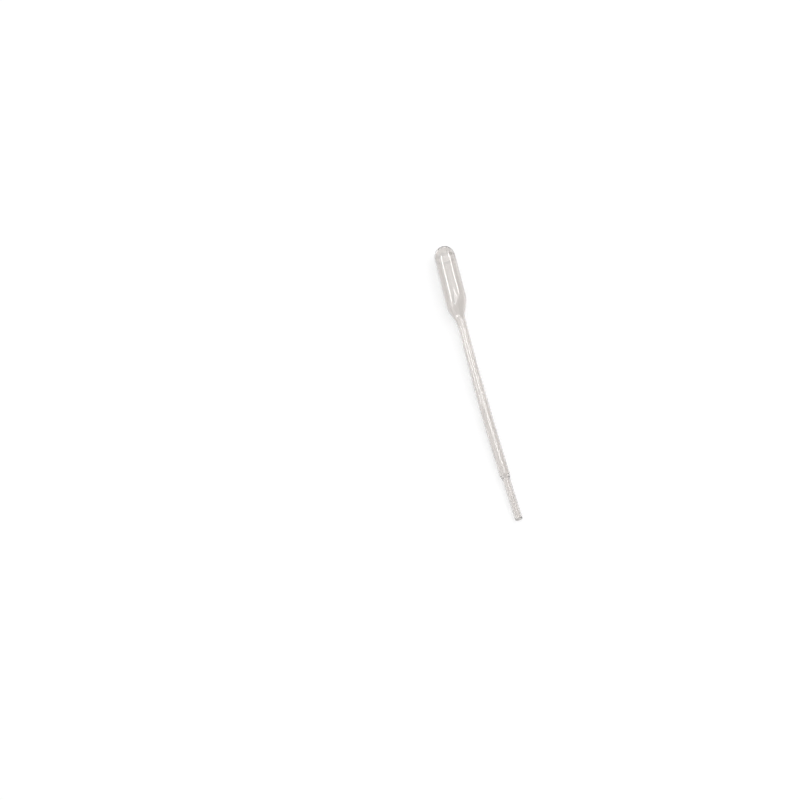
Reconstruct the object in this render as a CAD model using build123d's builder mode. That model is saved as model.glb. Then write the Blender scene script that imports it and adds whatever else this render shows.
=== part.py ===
from build123d import *
from math import acos, asin, atan2, cos, degrees, hypot, radians, sin, sqrt
import os

# Dropper pipette, 1 ml size: one hollow piece of soft low-density polyethylene, blown in a mould.
# It lies on a flat surface, on the fat end of its bulb and on the end of its stem or the tip's rim.
# Origin: on that surface, below the middle of the piece's box. +Z is up, the tip points along -Y.
# Distances along the piece are counted from the top of the dome. Millimetres and degrees.

# Lengths along the axis.
overall_length = 155.0
bulb_length = 28.5          # dome and straight side, up to where the shoulder begins
shoulder_length = 23.0      # until it has died out into the stem
tip_length = 25.0           # from the end of the stem to the mouth
crest_land = 0.5            # last stretch of the stem's full width, ahead of the step
step_length = 2.4           # of the cone between stem and tip
bore_step_length = 0.9      # in which the hollow narrows, quicker than the outside

# Outside sizes.
bulb_radius = 5.88          # at the shoulder, where the bulb is fattest
bulb_flare = 0.17          # so much slimmer is the straight side where it leaves the dome
dome_stretch = 1.12         # the dome's length over its radius
dome_land = 1.1             # radius of the small flat at its top
neck_radius = 2.53
stem_end_radius = 2.74
tip_radius = 2.0
step_crest_round = 0.5
step_foot_round = 1.2
bore_step_round = 0.3
rim_round = 0.65

# Walls, thin where the tube was blown widest.
bulb_wall = 0.45
dome_wall = 0.65            # at the top, where the tube was pinched shut and welded
stem_wall = 0.65
tip_wall = 0.75

# A small sharp ridge round the inside of the dome, which the weld left behind.
weld_ridge_distance = 5.8
weld_ridge_height = 0.12
weld_ridge_foot = 0.7       # half the width of its foot, halfway into the wall

# Stations on the way to the mouth.
dome_radius = bulb_radius - bulb_flare
dome_length = dome_radius * dome_stretch
neck_distance = bulb_length + shoulder_length
stem_end = overall_length - tip_length

# The shoulder's -X side is full for longer, falls steeply and dies out slowly into the stem.
full_side_start = bulb_length + 6.0
full_side_end = neck_distance
full_side_fullness = 1.6    # higher keeps the side fat for longer
full_side_tail = 3.9        # higher thins its last stretch

# Its +X side leans in from the bulb on, and meets the stem early.
lean_side_start = bulb_length
lean_side_end = neck_distance - 10.0
lean_side_fullness = 2.1
lean_side_tail = 1.5
shoulder_rings = 13

# The stem thickens over a short stretch, and its gentle bow lies flat on the surface.
thickening_start = neck_distance + 18.5
thickening_end = thickening_start + 14.0
bow_angle = 3.2
stem_rings = 12

# The soft bulb rests on a small flat spot, pressed this deep into its round.
flat_depth = 0.15

# The plane in which the axis is drawn slopes down to the tip, until stem end or rim touches too.
bulb_height = bulb_radius - flat_depth
rim_slope = asin((bulb_height - tip_radius) / (overall_length - lean_side_start))
crest_slope = asin((bulb_height - stem_end_radius) / (stem_end + crest_land - lean_side_start))
rest_slope = min(rim_slope, crest_slope)
sheet = Plane(
    origin=(0, 0, 0),
    x_dir=(0, -cos(rest_slope), -sin(rest_slope)),
    z_dir=(0, -sin(rest_slope), cos(rest_slope)),
)
bow_radius = (stem_end - neck_distance) / radians(bow_angle)
with BuildLine(sheet) as axis:
    bulb_run = PolarLine((0, 0), neck_distance, -bow_angle / 2)
    bow = JernArc(bulb_run @ 1, bulb_run % 1, bow_radius, bow_angle)
    tip_run = PolarLine(bow @ 1, tip_length, direction=bow % 1)
axis_wire = axis.wires()[0]


def profile_plane(distance):
    """The plane through a straight stretch of the axis, with x along the axis and y across it."""
    share = distance / overall_length
    return Plane(origin=axis_wire @ share, x_dir=axis_wire % share, z_dir=sheet.z_dir)


def ring_plane(distance, sideways=0):
    """The plane square to the axis, at a distance from the top of the dome."""
    share = distance / overall_length
    centre = axis_wire @ share + sheet.y_dir * sideways
    return Plane(origin=centre, x_dir=sheet.z_dir, z_dir=axis_wire % share)


def draw_domed_side(top_depth, side_depth):
    """The bulb's long dome and the side that leaves it without a crease, so deep in from the outside."""
    length = dome_length - top_depth
    radius = dome_radius - dome_land - side_depth
    reach = (bulb_length - dome_length) / length
    height = (bulb_radius - dome_land - side_depth) / radius
    lean = degrees(atan2(height, reach) + acos(1 / hypot(reach, height)))
    dome = EllipticalCenterArc((dome_length, dome_land), length, radius, lean, arc_size=180 - lean)
    Line((top_depth, 0), (top_depth, dome_land))
    return Line(dome @ 0, (bulb_length, bulb_radius - side_depth))


def inner_dome_radius(distance):
    """The hollow's radius inside the dome."""
    share = (dome_length - distance) / (dome_length - dome_wall)
    return dome_land + (dome_radius - dome_land - bulb_wall) * sqrt(1 - share**2)


def shoulder_side(distance, start, end, fullness, tail):
    """The shoulder's outside radius along one of its sides, which falls from the bulb's to the neck's."""
    share = min(max((distance - start) / (end - start), 0), 1)
    return neck_radius + (bulb_radius - neck_radius) * (1 - share**fullness) ** tail


def full_side(distance):
    """The shoulder's outside radius on its -X side."""
    return shoulder_side(distance, full_side_start, full_side_end, full_side_fullness, full_side_tail)


def lean_side(distance):
    """The shoulder's outside radius on its +X side."""
    return shoulder_side(distance, lean_side_start, lean_side_end, lean_side_fullness, lean_side_tail)


def stem_radius(distance):
    """The stem's outside radius, even on either side of the stretch where it thickens."""
    share = min(max((distance - thickening_start) / (thickening_end - thickening_start), 0), 1)
    return neck_radius + (stem_end_radius - neck_radius) * share


with BuildPart() as blown:
    # Bulb: the section through its wall, turned about the axis.
    with BuildSketch(profile_plane(0)):
        with BuildLine():
            outside = draw_domed_side(0, 0)
            inside = draw_domed_side(dome_wall, bulb_wall)
            Line(outside @ 1, inside @ 1)
            Line((0, 0), (dome_wall, 0))
        make_face()
        ridge_root = inner_dome_radius(weld_ridge_distance)
        with BuildLine():
            Polyline(
                (weld_ridge_distance - weld_ridge_foot, ridge_root + bulb_wall / 2),
                (weld_ridge_distance, ridge_root - weld_ridge_height),
                (weld_ridge_distance + weld_ridge_foot, ridge_root + bulb_wall / 2),
                close=True,
            )
        make_face()
    revolve(axis=Axis(axis_wire @ 0, axis_wire % 0))

    # Shoulder: hollow rings, each as wide as its two sides ask for and moved over to fit them.
    for number in range(shoulder_rings):
        share = number / (shoulder_rings - 1)
        distance = bulb_length + (neck_distance - bulb_length) * share
        width = full_side(distance) + lean_side(distance)
        sideways = (lean_side(distance) - full_side(distance)) / 2
        wall = bulb_wall + (stem_wall - bulb_wall) * share
        with BuildSketch(ring_plane(distance, sideways)):
            Circle(width / 2)
            Circle(width / 2 - wall, mode=Mode.SUBTRACT)
    loft()

    # Stem: short straight stretches from one hollow ring to the next, which follow the bow.
    for number in range(stem_rings):
        distance = neck_distance + (stem_end - neck_distance) * number / (stem_rings - 1)
        with BuildSketch(ring_plane(distance)):
            Circle(stem_radius(distance))
            Circle(stem_radius(distance) - stem_wall, mode=Mode.SUBTRACT)
    loft(ruled=True)

    # Step, tip and mouth: the section through the wall, turned about the tip's own straight axis.
    step_end = crest_land + step_length
    bore_radius = tip_radius - tip_wall
    with BuildSketch(profile_plane(stem_end)):
        with BuildLine():
            outside = FilletPolyline(
                (0, stem_end_radius),
                (crest_land, stem_end_radius),
                (step_end, tip_radius),
                (tip_length, tip_radius),
                (tip_length, bore_radius),
                radius=[step_crest_round, step_foot_round, rim_round],
            )
            inside = FilletPolyline(
                (0, stem_end_radius - stem_wall),
                (crest_land, stem_end_radius - stem_wall),
                (crest_land + bore_step_length, bore_radius),
                (tip_length, bore_radius),
                radius=bore_step_round,
            )
            Line(outside @ 0, inside @ 0)
        make_face()
    revolve(axis=Axis(axis_wire @ 1, axis_wire % 1))

# Set down on the surface, with the middle of the box above the origin and the flat spot made.
box = blown.part.bounding_box()
with BuildPart() as pipette:
    with Locations((-box.center().X, -box.center().Y, -box.min.Z - flat_depth)):
        add(blown.part)
    split(bisect_by=Plane.XY, keep=Keep.TOP)

pipette.part.label = "pipette"
os.makedirs("parts", exist_ok=True)
export_step(pipette.part, "parts/pipette.step")
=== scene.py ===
import bpy
from math import asin, cos, pi, radians, sin, sqrt
from mathutils import Matrix, Vector, noise


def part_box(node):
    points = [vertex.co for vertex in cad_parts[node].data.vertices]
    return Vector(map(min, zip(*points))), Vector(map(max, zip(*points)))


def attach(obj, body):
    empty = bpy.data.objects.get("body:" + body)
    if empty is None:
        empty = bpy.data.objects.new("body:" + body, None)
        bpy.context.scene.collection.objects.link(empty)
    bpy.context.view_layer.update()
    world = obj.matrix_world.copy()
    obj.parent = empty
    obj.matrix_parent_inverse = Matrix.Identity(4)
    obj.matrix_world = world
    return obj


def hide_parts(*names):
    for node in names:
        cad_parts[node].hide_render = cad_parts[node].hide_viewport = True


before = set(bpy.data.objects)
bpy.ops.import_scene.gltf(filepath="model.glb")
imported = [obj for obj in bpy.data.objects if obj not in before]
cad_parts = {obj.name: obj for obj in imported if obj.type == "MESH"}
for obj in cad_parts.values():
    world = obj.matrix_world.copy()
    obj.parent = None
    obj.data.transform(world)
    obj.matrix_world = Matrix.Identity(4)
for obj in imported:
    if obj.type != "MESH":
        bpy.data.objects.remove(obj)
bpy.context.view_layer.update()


# ---------------------------------------------------------------------------------------------
# Pipette: one hollow moulding of natural low-density polyethylene, soft enough to squeeze.
# A tube was blown out into the bulb, drawn down into the stem and stepped down again at the tip.
# Its dome was pinched shut and welded, which left the wall there thicker than the bulb's side.
# ---------------------------------------------------------------------------------------------

mm = 0.001

# Distances from the top of the dome and sizes across, all in millimetres.
overall_length = 155.0
bulb_length = 28.5          # dome and straight side, up to where the shoulder begins
neck_distance = 51.5        # where the shoulder has died out into the stem
stem_end = 130.0
crest_land = 0.5            # last stretch of the stem's full width, ahead of the step
step_length = 2.4
bore_step_length = 0.9      # in which the hollow narrows, quicker than the outside
rim_round = 0.65

dome_radius = 5.71
dome_stretch = 1.12         # the dome's length over its radius
dome_length = dome_radius * dome_stretch
dome_land = 1.1             # radius of the small flat at its top
bulb_radius = 5.88          # at the shoulder, where the bulb is fattest
neck_radius = 2.53
stem_end_radius = 2.74
tip_radius = 2.0

bulb_wall = 0.45
dome_wall = 0.65            # at the top
stem_wall = 0.65
tip_wall = 0.75

# The shoulder's sides, -X and +X: start, end, how long it stays fat and how slowly it dies out.
full_side = (bulb_length + 6.0, neck_distance, 1.6, 3.9)
lean_side = (bulb_length, neck_distance - 10.0, 2.1, 1.5)
thickening = (70.0, 84.0)   # from where to where the stem grows to its full width
bow_angle = radians(3.2)
flat_depth = 0.15           # how deep the soft bulb is pressed in where it rests

# What the weld left in the dome: a fine ridge inside and puckers that die out, and where the seam's painted
# shade lies.
weld_ridge_distance = 5.8
weld_ridge_height = 0.12
weld_ridge_foot = 0.24      # half the width of its foot
seam_shade_distance = 6.8
pucker_depth = 0.07
pucker_size = 1.1
pucker_start = 9.0          # from here to the end they fade
pucker_end = 12.0

# The mould's slight waves, on both skins.
wave_depth = 0.003
wave_length = 5.0           # along the piece
wave_turn = 1.3             # higher puts more waves round it
inner_wave_shift = 7.0      # so that the hollow's waves aren't the outside's

# The skin's facets: around, in the dome and round the rim, and then the stretches between them,
# each as the distance where it ends and its rows.
facets_around = 96
dome_rows = 28
inner_dome_rows = 40
rim_rows = 6
stretches = (
    (bulb_length, 64),
    (neck_distance, 64),
    (stem_end, 90),
    (stem_end + 4.0, 24),
    (overall_length - rim_round, 26),
)


def share_between(value, start, end):
    """How far value has come from start to end, from 0 to 1."""
    return min(max((value - start) / (end - start), 0.0), 1.0)


def side_radius(distance, fall):
    """The outside radius on one side, whose shoulder falls as the four values of fall say."""
    if distance < dome_length:
        round_off = sqrt(max(1.0 - (1.0 - distance / dome_length) ** 2, 0.0))
        return dome_land + (dome_radius - dome_land) * round_off
    if distance < bulb_length:
        return dome_radius + (bulb_radius - dome_radius) * share_between(distance, dome_length, bulb_length)
    if distance < neck_distance:
        start, end, fullness, tail = fall
        share = share_between(distance, start, end)
        return neck_radius + (bulb_radius - neck_radius) * (1.0 - share**fullness) ** tail
    if distance < stem_end + crest_land:
        return neck_radius + (stem_end_radius - neck_radius) * share_between(distance, *thickening)
    step = share_between(distance, stem_end + crest_land, stem_end + crest_land + step_length)
    return stem_end_radius + (tip_radius - stem_end_radius) * step


def wall_at(distance):
    """The wall's thickness outside the dome, thin where the tube was blown widest."""
    if distance < bulb_length:
        return bulb_wall
    if distance < neck_distance:
        return bulb_wall + (stem_wall - bulb_wall) * share_between(distance, bulb_length, neck_distance)
    if distance < stem_end:
        return stem_wall
    wide = stem_end_radius - stem_wall
    narrow = tip_radius - tip_wall
    narrowing = share_between(distance, stem_end + crest_land, stem_end + crest_land + bore_step_length)
    return side_radius(distance, full_side) - wide - (narrow - wide) * narrowing


def inner_dome_radius(distance):
    """The hollow's radius inside the dome, with the small ridge that the weld left round it."""
    share = (dome_length - distance) / (dome_length - dome_wall)
    radius = dome_land + (dome_radius - bulb_wall - dome_land) * sqrt(max(1.0 - share**2, 0.0))
    ridge = 1.0 - abs(distance - weld_ridge_distance) / weld_ridge_foot
    return radius - weld_ridge_height * max(ridge, 0.0)


def spread(start, end, count):
    """Even stations from start up to, but not at, end."""
    return [start + (end - start) * number / count for number in range(count)]


def outline():
    """The outside's and the hollow's rows: (distance, radius on the -X side, radius on the +X side)."""
    dome = [dome_length * (1.0 - cos(pi / 2 * number / dome_rows)) for number in range(dome_rows)]
    stations = []
    start = dome_length
    for end, count in stretches:
        stations += spread(start, end, count)
        start = end

    outside = []
    for distance in dome + stations:
        outside.append((distance, side_radius(distance, full_side), side_radius(distance, lean_side)))
    for number in range(rim_rows + 1):
        turn = pi / 2 * number / rim_rows
        radius = tip_radius - rim_round * (1.0 - cos(turn))
        outside.append((overall_length - rim_round * (1.0 - sin(turn)), radius, radius))

    bore = tip_radius - tip_wall
    inside = [(overall_length, bore, bore)]
    for distance in reversed(stations):
        wall = wall_at(distance)
        full = side_radius(distance, full_side) - wall
        lean = side_radius(distance, lean_side) - wall
        inside.append((distance, full, lean))
    inner_dome = []
    for number in range(inner_dome_rows):
        reach = cos(pi / 2 * number / inner_dome_rows)
        inner_dome.append(dome_length - (dome_length - dome_wall) * reach)
    inner_dome += [weld_ridge_distance + weld_ridge_foot * side for side in (-1.0, -0.5, 0.0, 0.5, 1.0)]
    for distance in sorted(inner_dome, reverse=True):
        inside.append((distance, inner_dome_radius(distance), inner_dome_radius(distance)))
    return outside, inside


def place_on_axis(distance):
    """The axis's point and direction, drawn flat: x along the piece and y to its +X side."""
    lean = -bow_angle / 2
    if distance <= neck_distance:
        return Vector((distance * cos(lean), distance * sin(lean))), Vector((cos(lean), sin(lean)))
    bow_radius = (stem_end - neck_distance) / bow_angle
    angle = lean + (min(distance, stem_end) - neck_distance) / bow_radius
    centre = Vector((neck_distance * cos(lean), neck_distance * sin(lean)))
    centre += bow_radius * Vector((-sin(lean), cos(lean)))
    point = centre - bow_radius * Vector((-sin(angle), cos(angle)))
    direction = Vector((cos(angle), sin(angle)))
    return point + max(distance - stem_end, 0.0) * direction, direction


def unevenness(distance, radius, turn, inner):
    """How far the skin stands out at a place: the mould's waves, and the puckers inside the dome."""
    shift = inner_wave_shift if inner else 0.0
    spot = Vector((distance / wave_length, wave_turn * cos(turn), wave_turn * sin(turn) + shift))
    wave = wave_depth * noise.noise(spot)
    if inner and distance < pucker_end:
        spot = Vector((distance, radius * cos(turn), radius * sin(turn))) / pucker_size
        wave += pucker_depth * share_between(distance, pucker_end, pucker_start) * noise.noise(spot)
    return wave


def pipette_mesh():
    """The whole wall as one closed skin, set down inside the frame's box with its flat spot made."""
    drop = bulb_radius - flat_depth - stem_end_radius
    slope = asin(drop / (stem_end + crest_land - lean_side[0]))
    along = Vector((0.0, -cos(slope), -sin(slope)))
    across = Vector((1.0, 0.0, 0.0))
    upward = Vector((0.0, -sin(slope), cos(slope)))
    outside, inside = outline()
    rows = outside + inside
    verts = []
    for row, (distance, full, lean) in enumerate(rows):
        point, direction = place_on_axis(distance)
        side = Vector((-direction.y, direction.x))
        radius = (full + lean) / 2
        centre = point + side * (lean - full) / 2
        for step in range(facets_around):
            turn = 2 * pi * step / facets_around
            wave = unevenness(distance, radius, turn, row >= len(outside))
            flat = centre + side * (radius + wave * min(radius, 1.0)) * cos(turn)
            verts.append(along * flat.x + across * flat.y + upward * ((radius + wave) * sin(turn)))

    faces = []
    for row in range(len(rows) - 1):
        for step in range(facets_around):
            here = row * facets_around + step
            beside = row * facets_around + (step + 1) % facets_around
            faces.append((here, beside, beside + facets_around, here + facets_around))
    for distance, row in ((0.0, 0), (dome_wall, len(rows) - 1)):
        point, direction = place_on_axis(distance)
        verts.append(along * point.x + across * point.y)
        top = len(verts) - 1
        for step in range(facets_around):
            here = row * facets_around + step
            beside = row * facets_around + (step + 1) % facets_around
            faces.append((here, beside, top) if row else (beside, here, top))

    low, high = (Vector(corner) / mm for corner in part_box("pipette"))
    xs = [v.x for v in verts]
    ys = [v.y for v in verts]
    shift_x = (low.x + high.x - min(xs) - max(xs)) / 2
    shift_y = (low.y + high.y - min(ys) - max(ys)) / 2
    shift = Vector((shift_x, shift_y, low.z - flat_depth - min(v.z for v in verts)))
    placed = []
    for v in verts:
        corner = v + shift
        corner.z = max(corner.z, low.z)
        placed.append(corner * mm)
    mesh = bpy.data.meshes.new("pipette_wall")
    mesh.from_pydata(placed, [], faces)
    mesh.shade_smooth()
    mesh.update()
    return mesh


# How the plastic looks. The mould's satin is finer on the real thing. It and the specks at the edge of the
# seam's painted shade are drawn as coarse as these sizes, in millimetres, so that they show.
plastic_colour = "#F4F1EF"
haze_colour = "#BCB9B4"
haze_density = 80.0
clearness = 0.92            # share of the light that goes through
satin_roughness = (0.05, 0.10)
satin_patch = 4.0
satin_height = 0.03
seam_shade_level = 0.86          # painted shade: the seam's brightness beside the plastic's own
seam_shade_speck = 1.5
seam_shade_reach = (0.4, 1.8)    # how far from the seam its painted shade goes, at the least and the most
seam_shade_core = 0.3            # up to here it is whole
frosted_from = 0.8          # this far from the mouth the frost of the cut begins
frosted_full = 0.3          # and here it is whole
frosted_clearness = 0.45


def linear(code):
    """An sRGB hex colour as linear RGBA."""
    levels = [int(code[i:i + 2], 16) / 255 for i in (1, 3, 5)]
    return tuple(v / 12.92 if v <= 0.04045 else ((v + 0.055) / 1.055) ** 2.4 for v in levels) + (1.0,)


def add_node(tree, kind, settings, links=()):
    """A node with its settings, by property or socket name, and links given as (output, its input)."""
    node = tree.nodes.new(kind)
    for name, value in settings.items():
        if name in node.inputs:
            node.inputs[name].default_value = value
        else:
            setattr(node, name, value)
    for output, socket in links:
        tree.links.new(output, node.inputs[socket])
    return node


def natural_polyethylene():
    """Low-density polyethylene with no pigment, blown in a mould.

    It is a milky clear plastic, satin from the mould, with a warm grey in the depth of its wall.
    A ring at the dome's weld seam is darkened in spots, which is painted shade, and the cut mouth is
    frosted.
    """
    material = bpy.data.materials.new("natural_polyethylene")
    material.use_nodes = True
    tree = material.node_tree
    tree.nodes.clear()
    place = add_node(tree, "ShaderNodeTexCoord", {})
    along = add_node(tree, "ShaderNodeSeparateXYZ", {}, [(place.outputs["Object"], "Vector")])

    # Satin: slow changes of roughness and height.
    ripple = add_node(
        tree,
        "ShaderNodeTexNoise",
        {"Scale": 1 / (satin_patch * mm), "Detail": 2.0},
        [(place.outputs["Object"], "Vector")],
    )
    smoothest, roughest = satin_roughness
    satin = add_node(
        tree,
        "ShaderNodeMapRange",
        {"From Min": 0.3, "From Max": 0.7, "To Min": smoothest, "To Max": roughest},
        [(ripple.outputs["Fac"], "Value")],
    )
    bump = add_node(
        tree,
        "ShaderNodeBump",
        {"Strength": 0.06, "Distance": satin_height * mm},
        [(ripple.outputs["Fac"], "Height")],
    )

    # Cut mouth: less clear towards the rim.
    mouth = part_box("pipette")[0][1]
    frosted = add_node(
        tree,
        "ShaderNodeMapRange",
        {
            "From Min": mouth + frosted_full * mm,
            "From Max": mouth + frosted_from * mm,
            "To Min": frosted_clearness,
            "To Max": clearness,
        },
        [(along.outputs["Y"], "Value")],
    )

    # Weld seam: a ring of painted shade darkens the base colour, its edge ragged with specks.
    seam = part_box("pipette")[1][1] - seam_shade_distance * mm
    from_seam = add_node(tree, "ShaderNodeMath", {"operation": "SUBTRACT"}, [(along.outputs["Y"], 0)])
    from_seam.inputs[1].default_value = seam
    off_seam = add_node(tree, "ShaderNodeMath", {"operation": "ABSOLUTE"}, [(from_seam.outputs[0], 0)])
    speckle = add_node(
        tree,
        "ShaderNodeTexNoise",
        {"Scale": 1 / (seam_shade_speck * mm), "Detail": 2.0},
        [(place.outputs["Object"], "Vector")],
    )
    least, most = seam_shade_reach
    spots = add_node(
        tree,
        "ShaderNodeMapRange",
        {"From Min": 0.38, "From Max": 0.58, "To Min": most * mm, "To Max": least * mm},
        [(speckle.outputs["Fac"], "Value")],
    )
    # Painted shade: how much the base colour is darkened at each distance from the seam.
    painted_seam_shade = add_node(
        tree,
        "ShaderNodeMapRange",
        {"From Min": seam_shade_core * mm, "To Min": seam_shade_level, "To Max": 1.0},
        [(off_seam.outputs[0], "Value"), (spots.outputs["Result"], "From Max")],
    )
    tint = add_node(
        tree,
        "ShaderNodeHueSaturation",
        {"Color": linear(plastic_colour)},
        [(painted_seam_shade.outputs["Result"], "Value")],
    )

    plastic = add_node(
        tree,
        "ShaderNodeBsdfPrincipled",
        {"IOR": 1.51},
        [
            (tint.outputs["Color"], "Base Color"),
            (satin.outputs["Result"], "Roughness"),
            (frosted.outputs["Result"], "Transmission Weight"),
            (bump.outputs["Normal"], "Normal"),
        ],
    )
    haze = add_node(
        tree, "ShaderNodeVolumeAbsorption", {"Color": linear(haze_colour), "Density": haze_density}
    )
    add_node(
        tree,
        "ShaderNodeOutputMaterial",
        {},
        [(plastic.outputs["BSDF"], "Surface"), (haze.outputs["Volume"], "Volume")],
    )
    return material


pipette = bpy.data.objects.new("pipette_wall", pipette_mesh())
bpy.context.collection.objects.link(pipette)
pipette.data.materials.append(natural_polyethylene())
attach(pipette, "root")
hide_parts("pipette")


# ---------------------------------------------------------------------------------------------
# Floor: a wide sheet of matt white paper under the pipette.
# It runs out of sight on every side, so it is the backdrop too.
# ---------------------------------------------------------------------------------------------

floor_half = 6.0            # metres from the middle to each edge
paper_colour = "#F2F2F2"
white = "#FFFFFF"
# What is seen near the pipette is half lit paper, which keeps the shadow, and half glow.
# Between these two distances from the middle, in metres, it turns into plain white glow alone.
fade = {"From Min": 0.4, "From Max": 1.2}
near_glow = 1.27
near_share = 0.5


def seen_rays(tree):
    """1 for what is looked at, straight, mirrored or through a clear wall, and 0 for shed light."""
    light_path = add_node(tree, "ShaderNodeLightPath", {})
    mirrored = add_node(
        tree,
        "ShaderNodeMath",
        {"operation": "MAXIMUM"},
        [(light_path.outputs["Is Camera Ray"], 0), (light_path.outputs["Is Glossy Ray"], 1)],
    )
    return add_node(
        tree,
        "ShaderNodeMath",
        {"operation": "MAXIMUM"},
        [(mirrored.outputs[0], 0), (light_path.outputs["Is Transmission Ray"], 1)],
    )


def white_paper():
    """Smooth uncoated paper: matt, with no gloss, and pure white where no shadow falls on it."""
    material = bpy.data.materials.new("white_paper")
    material.use_nodes = True
    tree = material.node_tree
    tree.nodes.clear()
    seen = seen_rays(tree)
    paper = add_node(tree, "ShaderNodeBsdfDiffuse", {"Color": linear(paper_colour)})
    place = add_node(tree, "ShaderNodeTexCoord", {})
    reach = add_node(tree, "ShaderNodeVectorMath", {"operation": "LENGTH"}, [(place.outputs["Object"], 0)])
    strength = add_node(
        tree,
        "ShaderNodeMapRange",
        {**fade, "To Min": near_glow, "To Max": 1.0},
        [(reach.outputs["Value"], "Value")],
    )
    whitened = add_node(
        tree,
        "ShaderNodeMapRange",
        {**fade, "To Min": near_share, "To Max": 1.0},
        [(reach.outputs["Value"], "Value")],
    )
    glow = add_node(
        tree, "ShaderNodeEmission", {"Color": linear(white)}, [(strength.outputs["Result"], "Strength")]
    )
    share = add_node(
        tree,
        "ShaderNodeMath",
        {"operation": "MULTIPLY"},
        [(seen.outputs[0], 0), (whitened.outputs["Result"], 1)],
    )
    both = add_node(
        tree,
        "ShaderNodeMixShader",
        {},
        [(share.outputs[0], 0), (paper.outputs[0], 1), (glow.outputs[0], 2)],
    )
    add_node(tree, "ShaderNodeOutputMaterial", {}, [(both.outputs[0], "Surface")])
    return material


floor_mesh = bpy.data.meshes.new("paper_floor")
corners = [(x * floor_half, y * floor_half, 0) for x, y in ((-1, -1), (1, -1), (1, 1), (-1, 1))]
floor_mesh.from_pydata(corners, [], [(0, 1, 2, 3)])
floor = bpy.data.objects.new("paper_floor", floor_mesh)
bpy.context.collection.objects.link(floor)
floor_mesh.materials.append(white_paper())


# ---------------------------------------------------------------------------------------------
# Light: one broad soft box overhead lights the pipette, with the pale room all round.
# The narrow boxes and strips shed no light. The plastic mirrors them as the bright lines along it.
# ---------------------------------------------------------------------------------------------

def add_soft_light(name, hung_at, width, length, brightness):
    """A rectangular lamp that faces the pipette, with its long side along it."""
    lamp = bpy.data.lights.new(name, "AREA")
    lamp.shape = "RECTANGLE"
    lamp.size = width
    lamp.size_y = length
    lamp.energy = brightness * pi * width * length
    thing = bpy.data.objects.new(name, lamp)
    facing = hung_at.normalized()
    side = Vector((0, 1, 0)).cross(facing).normalized()
    long_way = facing.cross(side)
    turn = Matrix((side, long_way, facing)).transposed().to_4x4()
    thing.matrix_world = Matrix.Translation(hung_at) @ turn
    thing.visible_camera = False
    bpy.context.collection.objects.link(thing)
    return thing


key = add_soft_light("key_box", Vector((0.35, 0.20, 0.75)), 0.80, 0.80, 1.0)
key.visible_glossy = False

# Each is a name, where it hangs, its width and length in metres, and its brightness.
highlights = (
    ("bulb_box", (0.0, 0.46, 0.75), 1.60, 0.28, 1.6),
    ("stem_box", (0.01, 0.28, 0.75), 0.27, 0.12, 8.3),
    ("low_stem_box", (0.05, 0.17, 0.75), 0.66, 0.10, 4.5),
    ("tip_box", (-0.02, 0.05, 0.75), 0.24, 0.12, 4.5),
    ("strip_right", (0.35, 0.27, 0.435), 0.12, 0.24, 8.0),
    ("strip_left", (-0.42, 0.235, 0.35), 0.13, 0.17, 9.0),
    ("shoulder_box", (-0.50, -0.06, 0.75), 1.00, 0.14, 6.5),
)
for name, hung_at, width, length, brightness in highlights:
    highlight = add_soft_light(name, Vector(hung_at), width, length, brightness)
    highlight.visible_diffuse = False
    highlight.visible_transmission = False

# The room, in three: plain white to look at, even soft light that it sheds, and what the plastic
# mirrors or lets through, which is darker to the right and low down and brighter far left.
shed_light = 0.75
world = bpy.data.worlds.new("studio")
bpy.context.scene.world = world
world.use_nodes = True
room_tree = world.node_tree
room_tree.nodes.clear()
heading = add_node(room_tree, "ShaderNodeTexCoord", {})
toward = add_node(room_tree, "ShaderNodeSeparateXYZ", {}, [(heading.outputs["Generated"], "Vector")])
dark_side = add_node(
    room_tree,
    "ShaderNodeMapRange",
    {"From Min": 0.26, "From Max": 0.38, "To Min": 1.0, "To Max": 0.0},
    [(toward.outputs["X"], "Value")],
)
bright_side = add_node(
    room_tree,
    "ShaderNodeMapRange",
    {"From Min": -0.55, "From Max": -1.0, "To Min": 0.0, "To Max": 1.8},
    [(toward.outputs["X"], "Value")],
)
sides = add_node(
    room_tree,
    "ShaderNodeMath",
    {"operation": "ADD"},
    [(dark_side.outputs[0], 0), (bright_side.outputs[0], 1)],
)
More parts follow.
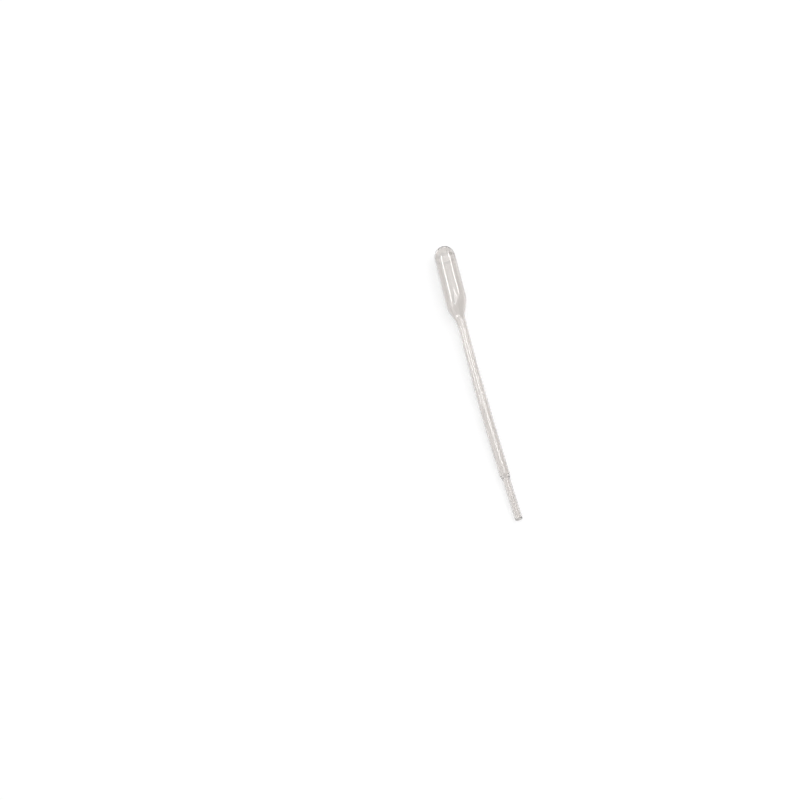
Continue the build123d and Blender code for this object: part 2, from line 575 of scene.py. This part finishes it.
low_down = add_node(
    room_tree,
    "ShaderNodeMapRange",
    {"From Min": 0.05, "From Max": 0.28, "To Min": 0.25, "To Max": 1.0},
    [(toward.outputs["Z"], "Value")],
)
level = add_node(
    room_tree,
    "ShaderNodeMath",
    {"operation": "MULTIPLY"},
    [(sides.outputs[0], 0), (low_down.outputs[0], 1)],
)
plain = add_node(room_tree, "ShaderNodeBackground", {"Color": linear(white), "Strength": 1.0})
room = add_node(
    room_tree, "ShaderNodeBackground", {"Color": linear(white)}, [(level.outputs[0], "Strength")]
)
light = add_node(room_tree, "ShaderNodeBackground", {"Color": linear(white), "Strength": shed_light})
room_path = add_node(room_tree, "ShaderNodeLightPath", {})
shown = add_node(
    room_tree,
    "ShaderNodeMixShader",
    {},
    [(room_path.outputs["Is Camera Ray"], 0), (room.outputs[0], 1), (plain.outputs[0], 2)],
)
seen = seen_rays(room_tree)
mix = add_node(
    room_tree,
    "ShaderNodeMixShader",
    {},
    [(seen.outputs[0], 0), (light.outputs[0], 1), (shown.outputs[0], 2)],
)
add_node(room_tree, "ShaderNodeOutputWorld", {}, [(mix.outputs[0], "Surface")])


# ---------------------------------------------------------------------------------------------
# Camera: high above the tip's end and a little to its left, with a short telephoto lens.
# It looks past the pipette's left side, so that the piece lies right of the middle.
# ---------------------------------------------------------------------------------------------

pivot = Vector((0, 0, 0.004))
camera_distance = 0.7019
height_angle = radians(68.0)
side_angle = radians(23.04)
target = Vector((-0.04265, -0.00121, 0.004))
toward_camera = Vector(
    (-sin(side_angle) * cos(height_angle), -cos(side_angle) * cos(height_angle), sin(height_angle))
)
camera_data = bpy.data.cameras.new("camera")
camera_data.lens = 60.6
camera_data.sensor_width = 36.0
camera = bpy.data.objects.new("camera", camera_data)
camera.location = pivot + camera_distance * toward_camera
camera.rotation_euler = (target - camera.location).normalized().to_track_quat("-Z", "Y").to_euler()
bpy.context.collection.objects.link(camera)
scene = bpy.context.scene
scene.camera = camera
scene.view_settings.view_transform = "Standard"
